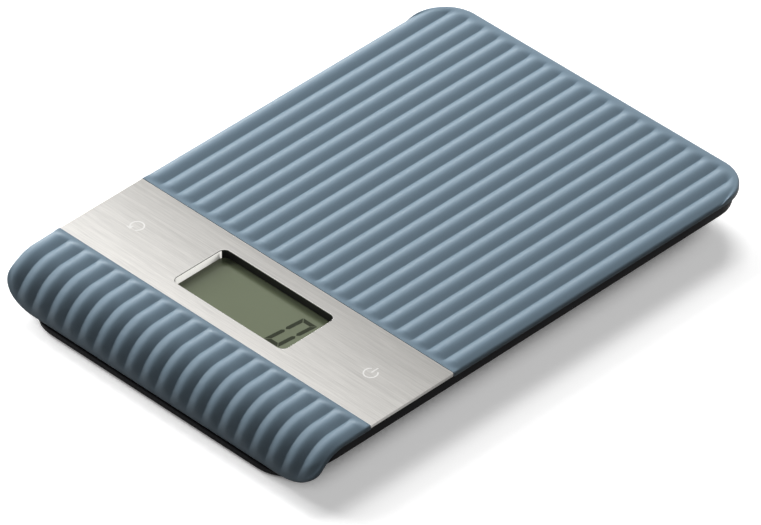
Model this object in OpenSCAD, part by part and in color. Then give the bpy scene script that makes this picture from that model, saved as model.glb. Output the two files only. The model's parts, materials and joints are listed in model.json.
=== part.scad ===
/* [Body] */
// Width of the ribbed cover, side to side
body_w = 170.6; // [160:0.1:190]
// Length of the ribbed platform behind the steel band
platform_l = 167.2; // [150:0.1:190]
// Length of the steel band, front to back
band_l = 44.4; // [43:0.1:52]
// Flat stretch of the cover between the band and the nose
nose_flat = 14; // [11:0.5:18]
// Radius of the nose, where the cover bends down to the table
nose_r = 18; // [17:0.1:19]
// Height of the steel band's face above the table
band_h = 20.5; // [20:0.1:22]
// How far the nose's lower edge lies below the band's face
nose_drop = 16.5; // [15:0.1:17]
// Corner radius of the cover, laid out flat
corner_r = 17; // [12:0.5:20]

/* [Ribs] */
// Number of ribs side by side
rib_count = 20; // [16:1:24]
// Depth of the valley between two ribs
rib_depth = 1.2; // [0.8:0.1:1.6]
// Height of the ribs' crests above the band's face
crest_rise = 0.8; // [0.4:0.1:1.1]
// Smooth strip that is left beside the band and along the far edge
rib_margin = 1.2; // [0.8:0.1:2]
// Length over which a rib rises to its full height
rib_fade = 3.8; // [2.5:0.1:5]
// Rounding of the cover's outer edge
edge_round = 0.8; // [0.5:0.1:1]

/* [Cover] */
// Thickness of the cover, from the crests to the underside
cover_t = 2.6; // [2.5:0.1:3]
// Height of the stiffening ribs under the cover
stiffener_h = 2; // [1:0.1:2.4]
// Width of the stiffening ribs under the cover
stiffener_w = 1.4; // [1:0.1:2]
// Distance between the stiffening ribs that run front to back
stiffener_pitch = 32; // [28:0.5:34]
// Inset of the cross ribs' ends from the cover's sides
stiffener_in = 15.3; // [14:0.1:17]

/* [Steel band] */
// Inset of the steel band's turned-down ends from the cover's sides
fascia_inset = 0.3; // [0.2:0.05:1]
// Thickness of the steel sheet
steel_t = 0.5; // [0.4:0.1:0.6]
// Height of the turned-down ends
flange_h = 1.7; // [1.2:0.1:1.8]
// Thickness of the adhesive sheet under the steel
adhesive_t = 0.2; // [0.1:0.05:0.25]
// Gap between the steel and the cover at each long seam
seam_gap = 0.15; // [0.1:0.01:0.3]

/* [Display] */
// Width of the display window
window_w = 61; // [50:0.5:62]
// Depth of the display window, front to back
window_l = 28.4; // [24:0.1:29]
// Corner radius of the display window
window_r = 3; // [1.5:0.1:4]
// Shift of the window's middle to the right
window_x = -0.5; // [-2:0.1:2]
// Depth of the display glass below the band's face
display_depth = 4.1; // [3.8:0.1:4.4]
// Width of the glass display panel
lcd_w = 66; // [64:0.5:67]
// Length of the glass display panel, front to back
lcd_l = 34; // [31:0.1:34.5]
// Thickness of the glass display panel
lcd_t = 2.8; // [2.4:0.1:3]
// Wall of the window frame around the panel
frame_wall = 3; // [2.5:0.1:3.4]
// Wall of the frame's collar inside the cover's opening
collar_wall = 2; // [1.5:0.1:2.2]
// Height of the rubber contact strips between panel and board
strip_h = 2; // [1.7:0.1:2.2]
// Width of a rubber contact strip
strip_w = 2.4; // [1.8:0.1:2.6]

/* [Board] */
// Inset of the circuit board's ends from the cover's sides
board_inset = 15.3; // [14.3:0.1:15.8]
// Length of the circuit board, front to back
board_l = 36; // [34:0.5:37]
// Thickness of the circuit board
board_t = 1.2; // [1:0.1:1.6]
// Distance of the board's screws from the middle, sideways
board_screw_x = 44; // [43:0.5:50]
// Distance of the board's screws from its middle, front to back
board_screw_y = 14; // [12:0.5:15]
// Diameter of the small screws for the board and the load cells
small_screw_d = 2; // [1.8:0.1:2.4]

/* [Keys] */
// Distance of each press key from the cover's side
key_in = 21.3; // [20.3:0.1:25.3]
// Diameter of the key pin
key_pin_d = 4; // [3.5:0.1:4.5]
// Travel of a press key
key_travel = 0.25; // [0.15:0.05:0.35]
// Side of the square switch housing
switch_w = 6; // [6:0.1:7]
// Height of the switch housing
switch_h = 3.5; // [3.2:0.1:3.8]
// Diameter of the switch's own stem
switch_stem_d = 3.5; // [3:0.1:4]
// Radial running clearance of the pins, stems and other guided parts
run_gap = 0.05; // [0.03:0.01:0.08]

/* [Base tub] */
// Gap between the base and the table
base_gap = 1.5; // [1.2:0.1:1.8]
// Inset of the tub's rim from the edge of the cover
rim_inset = 1.7; // [1.2:0.1:3]
// Inset of the tub's underside from the edge of the cover
foot_inset = 12.3; // [9:0.1:14]
// Inset of the tub's chin from the front of the nose
chin_inset = 0.3; // [0.2:0.1:1]
// Wall thickness of the tub
tub_wall = 2; // [1.6:0.1:2.4]
// Thickness of the tub's floor
floor_t = 2; // [1.6:0.1:2.4]
// Corner radius of the tub's underside
tub_corner_r = 16; // [12:0.5:18]
// Gap at which the shells and the seated pieces meet
seat_gap = 0.05; // [0.02:0.01:0.1]

/* [Case screws] */
// Thread diameter of the case screws
case_screw_d = 2.6; // [2.2:0.1:3]
// Head diameter of the case screws
case_head_d = 5.4; // [4.8:0.1:5.8]
// Head height of the case screws
case_head_h = 1.8; // [1.4:0.1:2]
// Diameter of the tub's screw posts
tub_post_d = 9; // [8.2:0.1:10]
// Height of the tub's screw posts above its floor
tub_post_h = 4.5; // [4:0.1:6]
// Diameter of the cover's screw posts
cover_post_d = 6.5; // [6:0.1:8]
// Distance of the front case screws from the cover's sides
screw_front_in = 47.3; // [46:0.1:50]
// Distance of the middle case screws from the cover's sides
screw_side_in = 21.3; // [21:0.1:23]
// Distance of the rear case screws from the cover's sides
screw_rear_in = 55.3; // [52:0.1:60]
// Distance of the middle case screws behind the steel band
screw_band_off = 15; // [13:0.5:17]
// Distance of the third case screws from the cover's far edge
screw_third_in = 66; // [62:0.5:68]
// Distance of the rear case screws from the cover's far edge
screw_far_in = 20; // [18:0.5:24]

/* [Feet] */
// Distance of the feet from the cover's sides
foot_side_in = 29.3; // [28.3:0.1:33.3]
// Distance of the front feet from the nose's front
foot_front_in = 21.8; // [20:0.2:23]
// Distance of the rear feet from the cover's far edge
foot_rear_in = 28; // [27:0.5:34]
// Diameter of a foot cup
foot_d = 18; // [16:0.5:19]
// Diameter of the flange that keeps the cup in its hole
foot_flange_d = 22; // [21:0.1:22.4]
// Thickness of the cup's flange
foot_flange_t = 1.2; // [1:0.1:1.5]
// Diameter of the rubber pad under a foot
pad_d = 15; // [13:0.5:15]
// Thickness of the rubber pad
pad_t = 1; // [0.8:0.1:1.2]
// Travel of a foot under full load
foot_travel = 0.4; // [0.2:0.05:0.5]
// Gap around a foot cup in its hole
foot_gap = 0.35; // [0.3:0.05:0.5]
// Diameter of the button that pushes on the load cell
foot_button_d = 6; // [5:0.5:7]

/* [Load cells] */
// Side of the square load cell plate
cell_w = 24; // [23.6:0.1:25]
// Thickness of the load cell plate
cell_t = 1.2; // [1:0.1:1.5]
// Height of the load cell's underside above the tub's floor
cell_z = 4.1; // [3.9:0.1:4.6]
// Width of the load cell's tongue
tongue_w = 8; // [7:0.5:9]
// Width of the slot around the tongue
tongue_slot = 1.5; // [1.2:0.1:2]
// Distance of the cell's screws and posts from its middle
cell_post_at = 9.7; // [9.6:0.05:9.8]
// Diameter of the posts that carry the cell
cell_post_d = 4; // [3.6:0.1:4.2]

/* [Battery bay] */
// Distance of the bay's middle from the cover's far edge
bay_in = 92; // [85:0.5:100]
// Diameter of a battery cell
battery_d = 10.3; // [10:0.1:10.5]
// Length of a battery cell without its button
battery_l = 43.4; // [43:0.1:43.6]
// Length of a battery cell's button
battery_nub = 1.1; // [0.9:0.1:1.2]
// Length of a contact spring as it is held by the cell
spring_l = 4.6; // [3.6:0.1:5.4]
// Gap between the two battery cells
battery_gap = 0.7; // [0.5:0.1:1.2]
// Wall of the bay
bay_wall = 1.5; // [1.2:0.1:2]
// Thickness of the contact plates
contact_t = 0.4; // [0.3:0.1:0.5]
// Thickness of the battery door
door_t = 1.5; // [1.4:0.1:1.6]
// How far the door lies over the bay's edge all round
door_lap = 3; // [2:0.1:3.5]
// Gap around the battery door
door_gap = 0.25; // [0.15:0.05:0.4]
// Travel of the battery door before it lifts off
door_travel = 7; // [6.6:0.1:8]
// Length of a tab at the door's side
tab_l = 6; // [5:0.1:6.2]
// Reach of a tab at the door's side
tab_w = 1.2; // [0.8:0.1:1.4]
// Thickness of a tab at the door's side
tab_t = 0.8; // [0.6:0.1:0.9]

/* [Leads] */
// Diameter of the load cells' leads
lead_d = 1.4; // [1:0.1:1.6]

/* [Hidden] */
$fn = 48;

// Directions: X to the right, Y away from the user, Z up from the table
half_w = body_w / 2;
nose_l = nose_flat + nose_r;
body_l = nose_l + band_l + platform_l;
y_front = -body_l / 2;
y_back = body_l / 2;
y_seam_front = y_front + nose_l;
y_seam_back = y_seam_front + band_l;
y_band = (y_seam_front + y_seam_back) / 2;

// The crests' level, the nose's axis and the cover's underside
crest_z = band_h + crest_rise;
nose_y = y_front + nose_r;
nose_z = crest_z - nose_r;
under_z = crest_z - cover_t;
under_r = nose_r - cover_t;
nose_low_z = band_h - nose_drop;
nose_angle = acos((nose_low_z - nose_z) / nose_r);
nose_end = nose_flat + nose_r * nose_angle * PI / 180;

// Ribs: each is an arc whose middle fifth is flat, so that things stand on it
rib_p = body_w / rib_count;
rib_r = rib_p * rib_p / 8 / rib_depth + rib_depth / 2;
crest_flat = rib_p / 10;
rib_steps = [0, 0.2, 0.4, 0.6, 0.8];

// Where the steel lies
fascia_w = body_w - 2 * fascia_inset;
steel_z = band_h - steel_t;
channel_z = steel_z - adhesive_t;
display_z = band_h - display_depth;

// The board hangs under the display panel and its contact strips
lcd_low_z = display_z - lcd_t;
board_top_z = lcd_low_z - strip_h;
board_low_z = board_top_z - board_t;
board_w = body_w - 2 * board_inset;
key_x = half_w - key_in;
pocket_gap = 0.2;
frame_w = lcd_w + 2 * pocket_gap + 2 * frame_wall;
frame_l = lcd_l + 2 * pocket_gap + 2 * frame_wall;
collar_gap = 0.2;

// Switches and key pins stand between the board and the steel
stem_rise = 0.8;
switch_top_z = board_top_z + switch_h;
stem_top_z = switch_top_z + stem_rise;
stem_low_z = board_top_z + 2;
pin_top_z = steel_z - seat_gap;
pin_flange_t = 0.8;
pin_flange_d = key_pin_d + 1.6;
guide_wall = 1.5;
guide_low_z = stem_top_z + pin_flange_t + 0.4;

// The tub's walls slope from its rim in to its underside
tub_top_z = under_z - seat_gap;
floor_z = base_gap + floor_t;
lean = (foot_inset - rim_inset) / (tub_top_z - base_gap);
front_wall_y = nose_y - under_r + 3.8;
front_wall_top = nose_z + 7.5;
front_wall_w = 2 * (half_w - foot_inset - tub_corner_r);

// The posts of the tub and the cover meet around each case screw
tub_post_z = floor_z + tub_post_h;
counterbore_z = tub_post_z - 2;
case_screw_l = 9;
case_screw_at = [
  [half_w - screw_front_in, nose_y - 1.2],
  [half_w - screw_side_in, y_seam_back + screw_band_off],
  [half_w - screw_side_in, y_back - screw_third_in],
  [half_w - screw_rear_in, y_back - screw_far_in]
];
mirrored = [-1, 1];

// Feet and load cells
foot_x = half_w - foot_side_in;
foot_y_front = y_front + foot_front_in;
foot_y_rear = y_back - foot_rear_in;
foot_at = [
  [-foot_x, foot_y_front], [foot_x, foot_y_front], [-foot_x, foot_y_rear], [foot_x, foot_y_rear]
];
flange_z = floor_z + 0.15;
cell_low_z = floor_z + cell_z;
cell_top_z = cell_low_z + cell_t;
button_top_z = cell_low_z - foot_travel - seat_gap;
pad_recess = 0.4;
small_head_d = small_screw_d * 1.8;
small_head_h = 1.3;

// The battery bay, with its two cells side by side along X
bay_y = y_back - bay_in;
door_low_z = base_gap;
door_top_z = base_gap + door_t;
recess_z = door_top_z + 0.1;
bay_l = battery_l + battery_nub + spring_l + 2 * contact_t + 0.1;
bay_w = 2 * battery_d + battery_gap + 1.4;
battery_z = door_top_z + 0.3 + battery_d / 2;
bay_top_z = battery_z + battery_d / 2 + 0.4;
battery_off = (battery_d + battery_gap) / 2;
door_w = bay_l + 2 * door_lap;
door_l = bay_w + 2 * door_lap;
pad_plate_z = floor_z + 1.5;
tab_off = 9;
tab_z = door_top_z - tab_t;
contact_h = 8.5;

// The sheet of the cover is laid out flat and bent over the nose
function smooth(t) = let(u = max(0, min(1, t))) u * u * (3 - 2 * u);
function fade(e) = smooth((e - rib_margin) / rib_fade);
function arc_drop(u) = rib_r - sqrt(rib_r * rib_r - u * u);
function rib_at(x) = (x + half_w) / rib_p;
function rib_offset(x) = (rib_at(x) - floor(rib_at(x) + 0.0001) - 0.5) * rib_p;
function valley(x) = max(0, arc_drop(rib_offset(x)) - arc_drop(crest_flat));
function past_corner(x) = max(0, abs(x) - (half_w - corner_r));
function trim(x) = corner_r - sqrt(max(0, corner_r * corner_r - pow(past_corner(x), 2)));
function edge_dist(x, e) =
  let(dx = past_corner(x), q = e + trim(x))
  dx > 0 && q < corner_r
    ? max(0, corner_r - sqrt(dx * dx + pow(corner_r - q, 2)))
    : min(half_w - abs(x), q);
function round_drop(d) =
  d >= edge_round ? 0 : edge_round - sqrt(max(0, pow(edge_round, 2) - pow(edge_round - d, 2)));
function surface_drop(x, f, d) = crest_rise * (1 - f) + valley(x) * f + round_drop(d);

// A point at distance s in front of the band, and one at distance e from the far edge
function bent(x, s, drop) =
  s <= nose_flat
    ? [x, y_seam_front - s, crest_z - drop]
    : let(a = (s - nose_flat) / nose_r * 180 / PI, r = nose_r - drop)
      [x, nose_y - r * sin(a), nose_z + r * cos(a)];
function back_point(x, e) =
  [x, y_back - trim(x) - e, crest_z - surface_drop(x, fade(e), edge_dist(x, e))];
function seam_point(x, y, e) =
  [x, y, crest_z - surface_drop(x, fade(e), half_w - abs(x))];
function front_end(x) = nose_end - trim(x);
function nose_point(x, s) =
  bent(x, s, surface_drop(x, 1, edge_dist(x, front_end(x) - s)));

// Columns across the width and rows from the far edge to the nose's lower edge
side_steps = [0.15, 0.5, 1.05];
columns = concat(
  [-half_w],
  [for (d = side_steps) d - half_w],
  [for (i = [0:rib_count - 1]) for (t = rib_steps) if (i > 0 || t > 0) (i + t) * rib_p - half_w],
  [for (k = [len(side_steps) - 1:-1:0]) half_w - side_steps[k]],
  [half_w]
);
rib_end = rib_margin + rib_fade;
fade_rows = [rib_margin, rib_margin + rib_fade / 3, rib_margin + rib_fade * 2 / 3, rib_end];
back_rows = concat([0, edge_round / 4, edge_round], fade_rows);
nose_steps = 9;
flat_row = len(back_rows) + 2 * (len(fade_rows) + 1);
row_count = flat_row + 1 + nose_steps + 2;
function column_points(x) = concat(
  [for (e = back_rows) back_point(x, e)],
  [for (k = [len(fade_rows) - 1:-1:0]) seam_point(x, y_seam_back + fade_rows[k], fade_rows[k])],
  [seam_point(x, y_seam_back, 0), seam_point(x, y_seam_front, 0)],
  [for (e = fade_rows) seam_point(x, y_seam_front - e, e)],
  [seam_point(x, nose_y, nose_flat)],
  [for (k = [1:nose_steps])
    nose_point(x, nose_flat + (front_end(x) - edge_round - nose_flat) * k / nose_steps)],
  [nose_point(x, front_end(x) - edge_round / 4), nose_point(x, front_end(x))]
);

// The block under the sheet: flat behind the nose's axis, a wedge in front of it
block_z = tub_post_z + 2 * seat_gap;
module cover_block() {
  n = len(columns);
  last = n - 1;
  top = [for (x = columns) column_points(x)];
  edge_low = [for (j = [0:last]) [top[j][0].x, top[j][0].y, block_z]];
  left_low = [for (i = [1:flat_row]) [top[0][i].x, top[0][i].y, block_z]];
  right_low = [for (i = [1:flat_row]) [top[last][i].x, top[last][i].y, block_z]];
  axis = [for (x = columns) [x, nose_y, nose_z]];
  points = concat([for (c = top) for (p = c) p], edge_low, left_low, right_low, axis);
  low0 = n * row_count;
  left0 = low0 + n;
  right0 = left0 + flat_row;
  axis0 = right0 + flat_row;
  function t(j, i) = j * row_count + i;
  function left_at(i) = i == 0 ? low0 : left0 + i - 1;
  function right_at(i) = i == 0 ? low0 + last : right0 + i - 1;
  end = row_count - 1;
  start = 5;
  faces = concat(
    [for (j = [0:last - 1]) for (i = [0:end - 1]) each
      [[t(j, i), t(j + 1, i), t(j + 1, i + 1)], [t(j, i), t(j + 1, i + 1), t(j, i + 1)]]],
    [for (j = [0:last - 1]) each
      [[t(j, 0), low0 + j, low0 + j + 1], [t(j, 0), low0 + j + 1, t(j + 1, 0)]]],
    [for (i = [0:flat_row - 1]) each
      [[t(0, i), t(0, i + 1), left_at(i + 1)], [t(0, i), left_at(i + 1), left_at(i)],
       [t(last, i), right_at(i), right_at(i + 1)], [t(last, i), right_at(i + 1), t(last, i + 1)]]],
    [concat([for (j = [last - start:-1:0]) low0 + j], [for (i = [1:flat_row]) left_at(i)],
      [for (i = [flat_row:-1:1]) right_at(i)], [for (j = [last:-1:last - start + 1]) low0 + j])],
    [concat([left_at(flat_row)], [for (j = [0:last]) axis0 + j], [right_at(flat_row)])],
    [[t(0, flat_row), t(0, flat_row + 1), left_at(flat_row)],
     [left_at(flat_row), t(0, flat_row + 1), axis0],
     [t(last, flat_row), right_at(flat_row), t(last, flat_row + 1)],
     [right_at(flat_row), axis0 + last, t(last, flat_row + 1)]],
    [for (i = [flat_row + 1:end - 1]) each
      [[t(0, i), t(0, i + 1), axis0], [t(last, i), axis0 + last, t(last, i + 1)]]],
    [for (j = [0:last - 1]) each
      [[t(j, end), t(j + 1, end), axis0 + j + 1], [t(j, end), axis0 + j + 1, axis0 + j]]]
  );
  polyhedron(points, faces);
}

module box(x0, x1, y0, y1, z0, z1) {
  translate([x0, y0, z0]) cube([x1 - x0, y1 - y0, z1 - z0]);
}

module rod(d, z0, z1) {
  translate([0, 0, z0]) cylinder(d = d, h = z1 - z0);
}

module rounded_plate(w, l, r, z0, z1) {
  box(-w / 2 + r, w / 2 - r, -l / 2, l / 2, z0, z1);
  box(-w / 2, w / 2, -l / 2 + r, l / 2 - r, z0, z1);
  for (sx = mirrored) for (sy = mirrored)
    translate([sx * (w / 2 - r), sy * (l / 2 - r), 0]) rod(2 * r, z0, z1);
}

module at_window() {
  translate([window_x, y_band, 0]) children();
}

module at_case_screws() {
  for (p = case_screw_at) for (s = mirrored) translate([s * p.x, p.y, 0]) children();
}

module at_board_screws() {
  for (sx = mirrored) for (sy = mirrored)
    translate([sx * board_screw_x, y_band + sy * board_screw_y, 0]) children();
}

module at_keys() {
  for (s = mirrored) translate([s * key_x, y_band, 0]) children();
}

// The ribbed cover: one moulded sheet, bent over the nose, with a channel for the steel
module top_cover() {
  color([0.47, 0.57, 0.64])
    difference() {
      cover_block();
      union() {
        difference() {
          cover_hollow();
          at_case_screws() rod(cover_post_d, block_z, under_z + 1);
          at_board_screws() rod(cover_post_d - 1, board_top_z + seat_gap, under_z + 1);
          at_keys() rod(key_pin_d + 2 * (run_gap + guide_wall), guide_low_z, under_z + 1);
          cover_stiffeners();
        }
        box(-half_w - 1, half_w + 1, y_seam_front, y_seam_back, channel_z, crest_z + 1);
        for (s = mirrored) translate([s * (fascia_w / 2 - steel_t - 0.1 + 2), 0, 0])
          box(-2, 2, y_seam_front, y_seam_back, under_z - 1, crest_z + 1);
        at_window() rounded_plate(window_w + 2 * (collar_wall + collar_gap),
          window_l + 2 * (collar_wall + collar_gap), window_r + collar_wall, under_z - 1, crest_z);
        at_case_screws()
          rod(case_screw_d + 2 * run_gap, tub_post_z - 1, counterbore_z + case_screw_l);
        at_board_screws() rod(small_screw_d + 2 * run_gap, board_low_z, board_low_z + 6);
        at_keys() rod(key_pin_d + 2 * run_gap, guide_low_z - 1, crest_z);
      }
    }
}

module cover_hollow() {
  box(-half_w - 1, half_w + 1, nose_y, y_back + 1, 0, under_z);
  translate([-half_w - 1, nose_y, nose_z]) rotate([0, 90, 0])
    cylinder(r = under_r, h = body_w + 2, $fn = 96);
}

module cover_stiffeners() {
  low = under_z - stiffener_h;
  y0 = y_seam_back + 4;
  y1 = y_back - rim_inset - corner_r;
  end = half_w - stiffener_in;
  for (k = [-1.5:1:1.5]) let(x = k * stiffener_pitch)
    box(x - stiffener_w / 2, x + stiffener_w / 2, y0, y1, low, under_z + 0.1);
  for (k = [0:3]) let(y = y0 + (y1 - y0) * k / 3)
    box(-end, end, y - stiffener_w / 2, y + stiffener_w / 2, low, under_z + 0.1);
}

// The brushed steel band, bent down over the cover's sides
module steel_fascia() {
  y0 = y_seam_front + seam_gap;
  y1 = y_seam_back - seam_gap;
  color([0.8, 0.79, 0.77])
    difference() {
      union() {
        box(-fascia_w / 2 + steel_t, fascia_w / 2 - steel_t, y0, y1, steel_z, band_h);
        for (s = mirrored) translate([s * (fascia_w / 2 - steel_t), 0, 0]) {
          translate([0, y0, steel_z]) rotate([-90, 0, 0]) cylinder(r = steel_t, h = y1 - y0);
          translate([s * steel_t / 2, 0, 0])
            box(-steel_t / 2, steel_t / 2, y0, y1, steel_z - flange_h + steel_t, steel_z);
        }
      }
      at_window() rounded_plate(window_w, window_l, window_r, steel_z - 1, band_h + 1);
      box(-fascia_w / 2 + steel_t, fascia_w / 2 - steel_t, y0 - 1, y1 + 1,
        steel_z - flange_h, steel_z);
    }
}

module fascia_adhesive() {
  inset = 1.5;
  color([0.85, 0.85, 0.8])
    difference() {
      box(-fascia_w / 2 + inset, fascia_w / 2 - inset, y_seam_front + inset, y_seam_back - inset,
        channel_z, steel_z);
      at_window() rounded_plate(window_w + 2 * (collar_wall + 2 * collar_gap),
        window_l + 2 * (collar_wall + 2 * collar_gap), window_r + collar_wall,
        channel_z - 1, steel_z + 1);
      at_keys() rod(key_pin_d + 1, channel_z - 1, steel_z + 1);
    }
}

// The moulded frame that lines the window and holds the display panel down on its contacts
module lcd_window_frame() {
  color([0.1, 0.1, 0.11])
    at_window() difference() {
      union() {
        rounded_plate(frame_w, frame_l, 2, board_top_z + seat_gap, under_z - seat_gap);
        rounded_plate(window_w + 2 * collar_wall, window_l + 2 * collar_wall,
          window_r + collar_wall, display_z, steel_z - seat_gap);
      }
      rounded_plate(window_w, window_l, window_r, display_z - 1, band_h);
      box(-lcd_w / 2 - pocket_gap, lcd_w / 2 + pocket_gap, -lcd_l / 2 - pocket_gap,
        lcd_l / 2 + pocket_gap, board_top_z - 1, display_z + seat_gap);
    }
}

module lcd_panel() {
  color([0.46, 0.49, 0.39])
    at_window() box(-lcd_w / 2, lcd_w / 2, -lcd_l / 2, lcd_l / 2, lcd_low_z, display_z);
}

module lcd_contact_strips() {
  color([0.25, 0.25, 0.27])
    at_window() for (s = mirrored) translate([0, s * (lcd_l / 2 - strip_w / 2 - 0.5), 0])
      box(-lcd_w / 2 + 1, lcd_w / 2 - 1, -strip_w / 2, strip_w / 2,
        board_top_z + 0.02, lcd_low_z - 0.02);
}

module main_board() {
  color([0.1, 0.4, 0.22])
    difference() {
      translate([0, y_band, 0]) box(-board_w / 2, board_w / 2, -board_l / 2, board_l / 2,
        board_low_z, board_top_z);
      at_board_screws() rod(small_screw_d + 0.4, board_low_z - 1, board_top_z + 1);
    }
}

module board_screws() {
  color([0.7, 0.7, 0.72]) at_board_screws() {
    rod(small_head_d, board_low_z - small_head_h, board_low_z);
    rod(small_screw_d, board_low_z - 0.1, board_low_z + 5.5);
  }
}

// The bare chip under its drop of black resin
module controller_blob() {
  blob_d = 14;
  blob_h = 1.6;
  blob_r = (pow(blob_d / 2, 2) + blob_h * blob_h) / 2 / blob_h;
  color([0.08, 0.08, 0.08])
    translate([-14, y_band, board_low_z]) intersection() {
      translate([0, 0, blob_r - blob_h]) sphere(r = blob_r, $fn = 144);
      rod(blob_d + 2, -blob_h - 1, 0);
    }
}

module memory_chip() {
  color([0.15, 0.15, 0.16]) {
    translate([14, y_band, 0]) box(-2.5, 2.5, -2, 2, board_low_z - 1.7, board_low_z - 0.2);
    for (sy = mirrored) for (k = [-1.5:1:1.5])
      translate([14 + k * 1.27, y_band + sy * 2.4, 0])
        box(-0.2, 0.2, -0.5, 0.5, board_low_z - 0.9, board_low_z);
  }
}

module board_capacitors() {
  color([0.2, 0.25, 0.5])
    for (x = [26, 34]) translate([x, y_band - 8, 0]) rod(4, board_low_z - 4.5, board_low_z);
}

module switch_housing(x) {
  color([0.12, 0.12, 0.13])
    translate([x, y_band, 0]) difference() {
      box(-switch_w / 2, switch_w / 2, -switch_w / 2, switch_w / 2, board_top_z, switch_top_z);
      rod(switch_stem_d + 2 * run_gap, stem_low_z - key_travel - seat_gap, switch_top_z + 1);
    }
}

module switch_stem(x) {
  color([0.85, 0.84, 0.8])
    translate([x, y_band, 0]) rod(switch_stem_d, stem_low_z, stem_top_z);
}

module key_pin(x) {
  color([0.9, 0.9, 0.88])
    translate([x, y_band, 0]) {
      rod(pin_flange_d, stem_top_z, stem_top_z + pin_flange_t);
      rod(key_pin_d, stem_top_z, pin_top_z);
    }
}

module unit_switch_housing() { switch_housing(-key_x); }
module unit_switch_stem() { switch_stem(-key_x); }
module unit_key_pin() { key_pin(-key_x); }
module tare_switch_housing() { switch_housing(key_x); }
module tare_switch_stem() { switch_stem(key_x); }
module tare_key_pin() { key_pin(key_x); }

// A block with round corners whose sides lean out from bottom to top
module leaning_block(inset, z0, z1, y0) {
  hull() for (z = [z0, z1 - 0.02]) {
    in = foot_inset - lean * (z - base_gap) + inset;
    r = tub_corner_r - inset;
    for (s = mirrored) {
      translate([s * (half_w - in - r), y0 + r, z]) cylinder(r = r, h = 0.02, $fn = 32);
      translate([s * (half_w - in - r), y_back - in - r, z]) cylinder(r = r, h = 0.02, $fn = 32);
    }
  }
}

// The room that the bent cover leaves for the tub
module under_cover(gap) {
  box(-half_w, half_w, nose_y, y_back, 0, under_z);
  translate([-half_w, nose_y, nose_z]) rotate([0, 90, 0])
    cylinder(r = under_r - gap, h = body_w, $fn = 96);
  box(-half_w, half_w, y_front, nose_y, 0, nose_z + under_r * cos(nose_angle) - gap);
}

// The black tub that closes the scale from below and stands on the four feet
module base_tub() {
  color([0.07, 0.07, 0.08])
    difference() {
      union() {
        difference() {
          intersection() {
            leaning_block(0, base_gap, tub_top_z, y_front + chin_inset);
            under_cover(seat_gap);
          }
          leaning_block(tub_wall, floor_z, tub_top_z + 0.02, front_wall_y);
          box(-front_wall_w / 2, front_wall_w / 2, y_front - 1, front_wall_y + 4,
            front_wall_top, under_z);
        }
        at_case_screws() rod(tub_post_d, base_gap + 0.1, tub_post_z);
        for (p = foot_at) translate([p.x, p.y, 0]) cell_posts();
        bay_shell();
      }
      at_case_screws() {
        rod(case_head_d + 0.6, 0, counterbore_z);
        rod(case_screw_d + 0.4, 0, tub_post_z + 1);
      }
      for (p = foot_at) translate([p.x, p.y, 0]) {
        rod(foot_d + 2 * foot_gap, 0, floor_z + 1);
        for (sx = mirrored) for (sy = mirrored)
          translate([sx * cell_post_at, sy * cell_post_at, 0])
            rod(small_screw_d + 2 * run_gap, cell_low_z - 3.6, cell_low_z + 1);
      }
      bay_hollow();
    }
}

module cell_posts() {
  for (sx = mirrored) for (sy = mirrored)
    translate([sx * cell_post_at, sy * cell_post_at, 0])
      rod(cell_post_d, base_gap + 0.1, cell_low_z);
}

module bay_shell() {
  margin = 5;
  translate([0, bay_y, 0]) {
    box(-door_w / 2 - margin, door_w / 2 + margin, -door_l / 2 - margin,
      door_l / 2 + door_travel + margin, base_gap + 0.1, pad_plate_z);
    box(-bay_l / 2 - bay_wall, bay_l / 2 + bay_wall, -bay_w / 2 - bay_wall,
      bay_w / 2 + bay_wall, base_gap + 0.1, bay_top_z + bay_wall);
  }
}

// The bay itself, the door's recess with its finger scoop, and the tabs' grooves
module bay_hollow() {
  reach = door_w / 2 + tab_w + door_gap;
  translate([0, bay_y, 0]) {
    box(-bay_l / 2, bay_l / 2, -bay_w / 2, bay_w / 2, 0, bay_top_z);
    box(-door_w / 2 - door_gap, door_w / 2 + door_gap, -door_l / 2 - door_gap,
      door_l / 2 + door_travel + door_gap, 0, recess_z);
    for (y = [-tab_off, tab_off]) {
      box(-reach, reach, y - tab_l / 2 - door_gap, y + tab_l / 2 + door_travel + door_gap,
        tab_z - 0.1, recess_z);
      box(-reach, reach, y - tab_l / 2 + door_travel - door_gap,
        y + tab_l / 2 + door_travel + door_gap, 0, recess_z);
    }
  }
}

module case_screws() {
  color([0.6, 0.6, 0.62]) at_case_screws() {
    rod(case_head_d, counterbore_z - case_head_h, counterbore_z);
    rod(case_screw_d, counterbore_z - 0.1, counterbore_z + case_screw_l - 0.5);
  }
}

// A load cell: a steel plate whose tongue is cut free on three sides
module load_cell(k) {
  low = cell_low_z;
  tongue_l = cell_w * 0.68;
  slot_x = tongue_w / 2 + tongue_slot;
  in = foot_at[k].y < 0 ? 1 : -1;
  color([0.75, 0.75, 0.78])
    translate([foot_at[k].x, foot_at[k].y, 0]) mirror([0, in < 0 ? 1 : 0, 0]) difference() {
      box(-cell_w / 2, cell_w / 2, -cell_w / 2, cell_w / 2, low, cell_top_z);
      translate([0, cell_w / 2 - 3.5, 0]) difference() {
        box(-slot_x, slot_x, -tongue_l, 0, low - 1, cell_top_z + 1);
        box(-tongue_w / 2, tongue_w / 2, -tongue_l + tongue_slot, 1, low - 2, cell_top_z + 2);
      }
      for (sx = mirrored) for (sy = mirrored)
        translate([sx * cell_post_at, sy * cell_post_at, 0])
          rod(small_screw_d + 0.3, low - 1, cell_top_z + 1);
    }
}

module load_cell_front_left() { load_cell(0); }
module load_cell_front_right() { load_cell(1); }
module load_cell_rear_left() { load_cell(2); }
module load_cell_rear_right() { load_cell(3); }

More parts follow.
